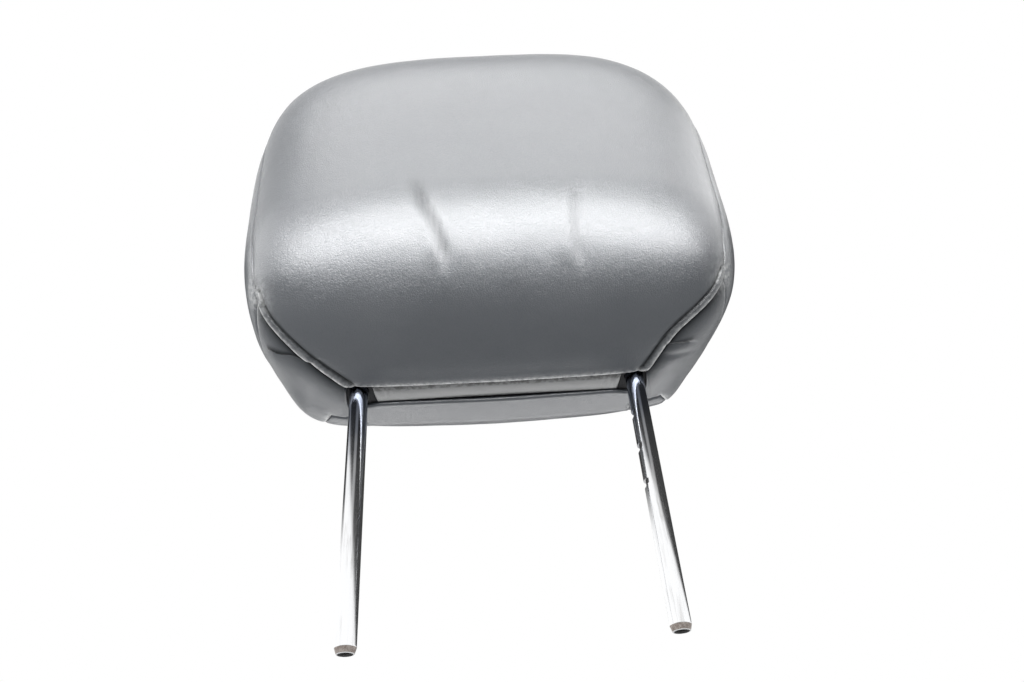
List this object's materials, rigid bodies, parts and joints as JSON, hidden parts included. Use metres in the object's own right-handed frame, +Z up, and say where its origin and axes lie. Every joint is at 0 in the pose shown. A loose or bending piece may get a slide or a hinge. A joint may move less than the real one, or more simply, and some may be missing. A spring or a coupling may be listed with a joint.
{
  "type": "car headrest",
  "caption": "Crowned leather headrest with a sewn panel cover over moulded foam, on a bent hollow chrome tube whose notched posts slide into the seat back.",
  "frame": {"origin": "midway between the centres of the two posts' lower ends, where the posts enter the seat's sleeves", "axes": "+Z up along the posts, -Y towards the occupant's head, +X to the right when the headrest is seen from the front"},
  "size_m": [0.2776, 0.1188, 0.356],
  "materials": {
    "chrome_tube": "bright chrome plate, lightly scuffed by the seat sleeves",
    "plate_steel": "black electro-coated pressed steel",
    "foam": "open-cell moulded polyurethane foam, dark grey",
    "cover_leather": "smooth dark grey leather with a fine grain and a satin coat, worn at the seam corners",
    "flap_vinyl": "soft matt vinyl strip",
    "hook_plastic": "black extruded polypropylene"
  },
  "bodies": {
    "root": {"post_frame": "chrome_tube", "armature_plate": "plate_steel", "foam_cushion": "foam", "front_panel": "cover_leather", "rear_panel": "cover_leather", "side_insert_left": "cover_leather", "side_insert_right": "cover_leather", "closure_flap": "flap_vinyl", "closure_hook_front": "hook_plastic", "closure_hook_rear": "hook_plastic"}
  },
  "joints": []
}
